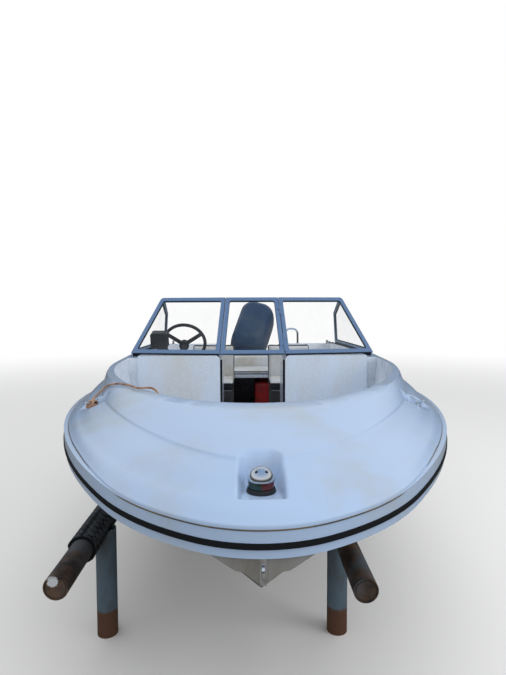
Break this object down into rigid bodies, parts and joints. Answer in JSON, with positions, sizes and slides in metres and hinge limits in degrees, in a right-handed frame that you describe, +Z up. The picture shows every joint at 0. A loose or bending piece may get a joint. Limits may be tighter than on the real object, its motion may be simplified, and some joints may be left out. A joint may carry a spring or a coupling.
{
  "type": "open-bow speedboat with tilted outboard on a pipe rack",
  "caption": "White open-bow runabout with walk-through windshield, rub rail, helm and tilted dark outboard, resting on a rack of welded pipes.",
  "frame": {"origin": "on the ground, at the middle of the overall length and breadth", "axes": "+Z up, -Y towards the bow, +X towards the port side"},
  "size_m": [1.966, 5.4055, 1.6977],
  "materials": {
    "gelcoat_hull": "glossy white gelcoat",
    "gelcoat_deck": "glossy white gelcoat",
    "gelcoat_liner": "white gelcoat",
    "rubber_black": "black rubber strip",
    "floor_grey": "grey marine carpet",
    "alloy": "anodised alloy",
    "clear": "clear panes",
    "vinyl_white": "white vinyl with black piping",
    "plastic_black": "black plastic",
    "tank_red": "red moulded plastic",
    "stainless": "polished stainless",
    "lens": "red and green lens",
    "motor_blue": "dark blue gloss paint",
    "motor_grey": "dark grey paint",
    "rack_paint": "worn blue-grey paint over rust",
    "rack_brown": "dark brown rusty pipe",
    "tread": "old tyre tread",
    "rope_brown": "orange-brown braided rope"
  },
  "bodies": {
    "boat": {"hull": "gelcoat_hull", "deck": "gelcoat_deck", "cockpit_liner": "gelcoat_liner", "rail_upper": "gelcoat_deck", "rub_strip": "rubber_black", "rail_lower": "gelcoat_deck", "cockpit_sole": "floor_grey", "console_starboard": "gelcoat_liner", "console_port": "gelcoat_liner", "windshield_frame_starboard": "alloy", "windshield_frame_port": "alloy", "windshield_glass_starboard": "clear", "windshield_glass_port": "clear", "side_glass_starboard": "clear", "side_glass_port": "clear", "steering_column": "plastic_black", "instrument_box": "plastic_black", "helm_seat_box_starboard": "gelcoat_liner", "helm_seat_box_port": "gelcoat_liner", "helm_seat_starboard": "vinyl_white", "helm_seat_port": "vinyl_white", "bench_base": "gelcoat_liner", "bench_cushion": "vinyl_white", "bench_back": "vinyl_white", "fuel_tank": "tank_red", "nav_light_base": "plastic_black", "nav_light_lens": "lens", "nav_light_cap": "stainless", "bow_cleat_starboard": "stainless", "bow_cleat_port": "stainless", "bow_eye": "stainless", "stern_grab_rail": "stainless", "mooring_rope": "rope_brown", "rope_coil": "rope_brown", "windshield_seal_starboard": "rubber_black", "windshield_seal_port": "rubber_black", "throttle_control": "plastic_black", "stern_cleat_starboard": "stainless", "stern_cleat_port": "stainless", "gunwale_fittings": "stainless", "motor_clamp": "motor_grey", "rack_beams": "rack_brown", "rack_posts": "rack_paint", "rack_tread": "tread"},
    "gate": {"gate_frame": "alloy", "gate_glass": "clear"},
    "wheel": {"steering_wheel": "plastic_black"},
    "swivel": {"motor_swivel": "motor_grey"},
    "motor": {"motor_cowl": "motor_blue", "powerhead": "motor_grey", "motor_pan": "motor_grey", "motor_leg": "motor_grey", "lower_unit": "motor_grey"},
    "propeller": {"propeller": "motor_grey"}
  },
  "joints": [
    {"name": "gate_hinge", "type": "hinge", "parent": "boat", "child": "gate", "pos_m": [0.22444, -0.57332, 1.32392], "axis": [-0.0684, 0.5471, 0.8343], "range_deg": [0, 170]},
    {"name": "helm_turn", "type": "hinge", "parent": "boat", "child": "wheel", "pos_m": [-0.528, -0.0585, 1.35], "axis": [0, 0.8829, 0.4695], "range_deg": [-846, 234]},
    {"name": "motor_tilt", "type": "hinge", "parent": "boat", "child": "swivel", "pos_m": [0, 1.7715, 1.012], "axis": [1, 0, 0], "range_deg": [-62, 0]},
    {"name": "motor_steer", "type": "hinge", "parent": "swivel", "child": "motor", "pos_m": [0, 1.82979, 1.10529], "axis": [0, -0.848, 0.5299], "range_deg": [-13, 47]},
    {"name": "propeller_spin", "type": "hinge", "parent": "motor", "child": "propeller", "pos_m": [0.07894, 2.59841, 0.92946], "axis": [0.2924, 0.5068, 0.811], "continuous": true}
  ],
  "couplings": [
    {"joint": "motor_steer", "follows": "helm_turn", "ratio": -0.055556}
  ]
}
